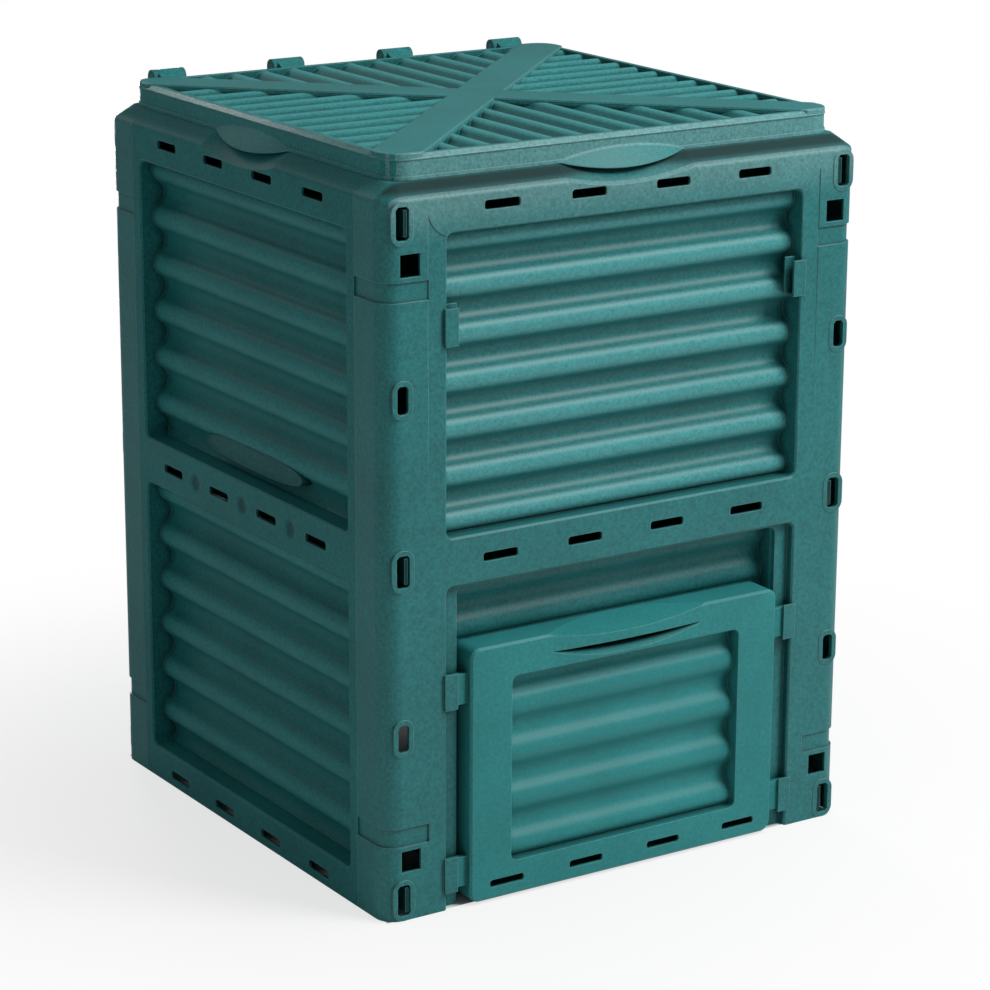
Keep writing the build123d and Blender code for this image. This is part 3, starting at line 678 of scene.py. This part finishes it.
def stage_camera(setting):
    """Camera that looks at the bin from its distance, azimuth and elevation, rolled and offset sideways."""
    turn, rise, roll = setting.azimuth, setting.elevation, setting.roll
    back = Vector((math.sin(turn) * math.cos(rise), -math.cos(turn) * math.cos(rise), math.sin(rise)))
    right = Vector((math.cos(turn), math.sin(turn), 0.0))
    up = back.cross(right)
    side = right * math.cos(roll) + up * math.sin(roll)
    top = -right * math.sin(roll) + up * math.cos(roll)
    eye = CAMERA_TARGET - side * setting.aim[0] - top * setting.aim[1] + back * setting.distance
    lens = bpy.data.cameras.new("camera")
    lens.sensor_width = SENSOR_WIDTH
    lens.lens = setting.lens
    camera = bpy.data.objects.new("camera", lens)
    camera.matrix_world = Matrix.Translation(eye) @ Matrix((side, top, back)).transposed().to_4x4()
    bpy.context.scene.collection.objects.link(camera)
    return camera


class BIN_OT_stage(bpy.types.Operator):
    """Make the floor, the lights, the world and the camera"""

    bl_idname = "compost_bin.stage"
    bl_label = "Stage"

    def execute(self, context):
        scene = context.scene
        setting = scene.compost_bin_stage
        floor = paper_floor()
        for name, (place, size, spread) in SOFT_BOXES.items():
            soft_box(f"{name} light", place, size, getattr(setting, f"{name}_power"), spread)
        scene.world = studio_world(setting.fill)
        scene.view_settings.view_transform = "Standard"
        scene.camera = stage_camera(setting)
        return {"FINISHED"}


class BIN_PT_panel(bpy.types.Panel):
    """Lists the bin's sizes and operators"""

    bl_idname = "BIN_PT_panel"
    bl_label = "Compost bin"
    bl_space_type = "VIEW_3D"
    bl_region_type = "UI"
    bl_category = "Compost bin"

    def draw(self, context):
        layout = self.layout
        scene = context.scene
        for group in (scene.compost_bin_finish, scene.compost_bin_plate, scene.compost_bin_stage):
            for name in group.bl_rna.properties.keys():
                if name not in ("rna_type", "name"):
                    layout.prop(group, name)
        for operator in OPERATORS:
            layout.operator(operator.bl_idname)


OPERATORS = (BIN_OT_finishes, BIN_OT_plate, BIN_OT_stage)
CLASSES = (BinFinish, BinPlate, BinStage, *OPERATORS, BIN_PT_panel)


def register():
    for item in CLASSES:
        bpy.utils.register_class(item)
    bpy.types.Scene.compost_bin_finish = bpy.props.PointerProperty(type=BinFinish)
    bpy.types.Scene.compost_bin_plate = bpy.props.PointerProperty(type=BinPlate)
    bpy.types.Scene.compost_bin_stage = bpy.props.PointerProperty(type=BinStage)


def unregister():
    del bpy.types.Scene.compost_bin_stage
    del bpy.types.Scene.compost_bin_plate
    del bpy.types.Scene.compost_bin_finish
    for item in reversed(CLASSES):
        bpy.utils.unregister_class(item)


def main():
    register()
    bpy.ops.compost_bin.finishes()
    bpy.ops.compost_bin.plate()
    bpy.ops.compost_bin.stage()


if __name__ == "__main__":
    main()
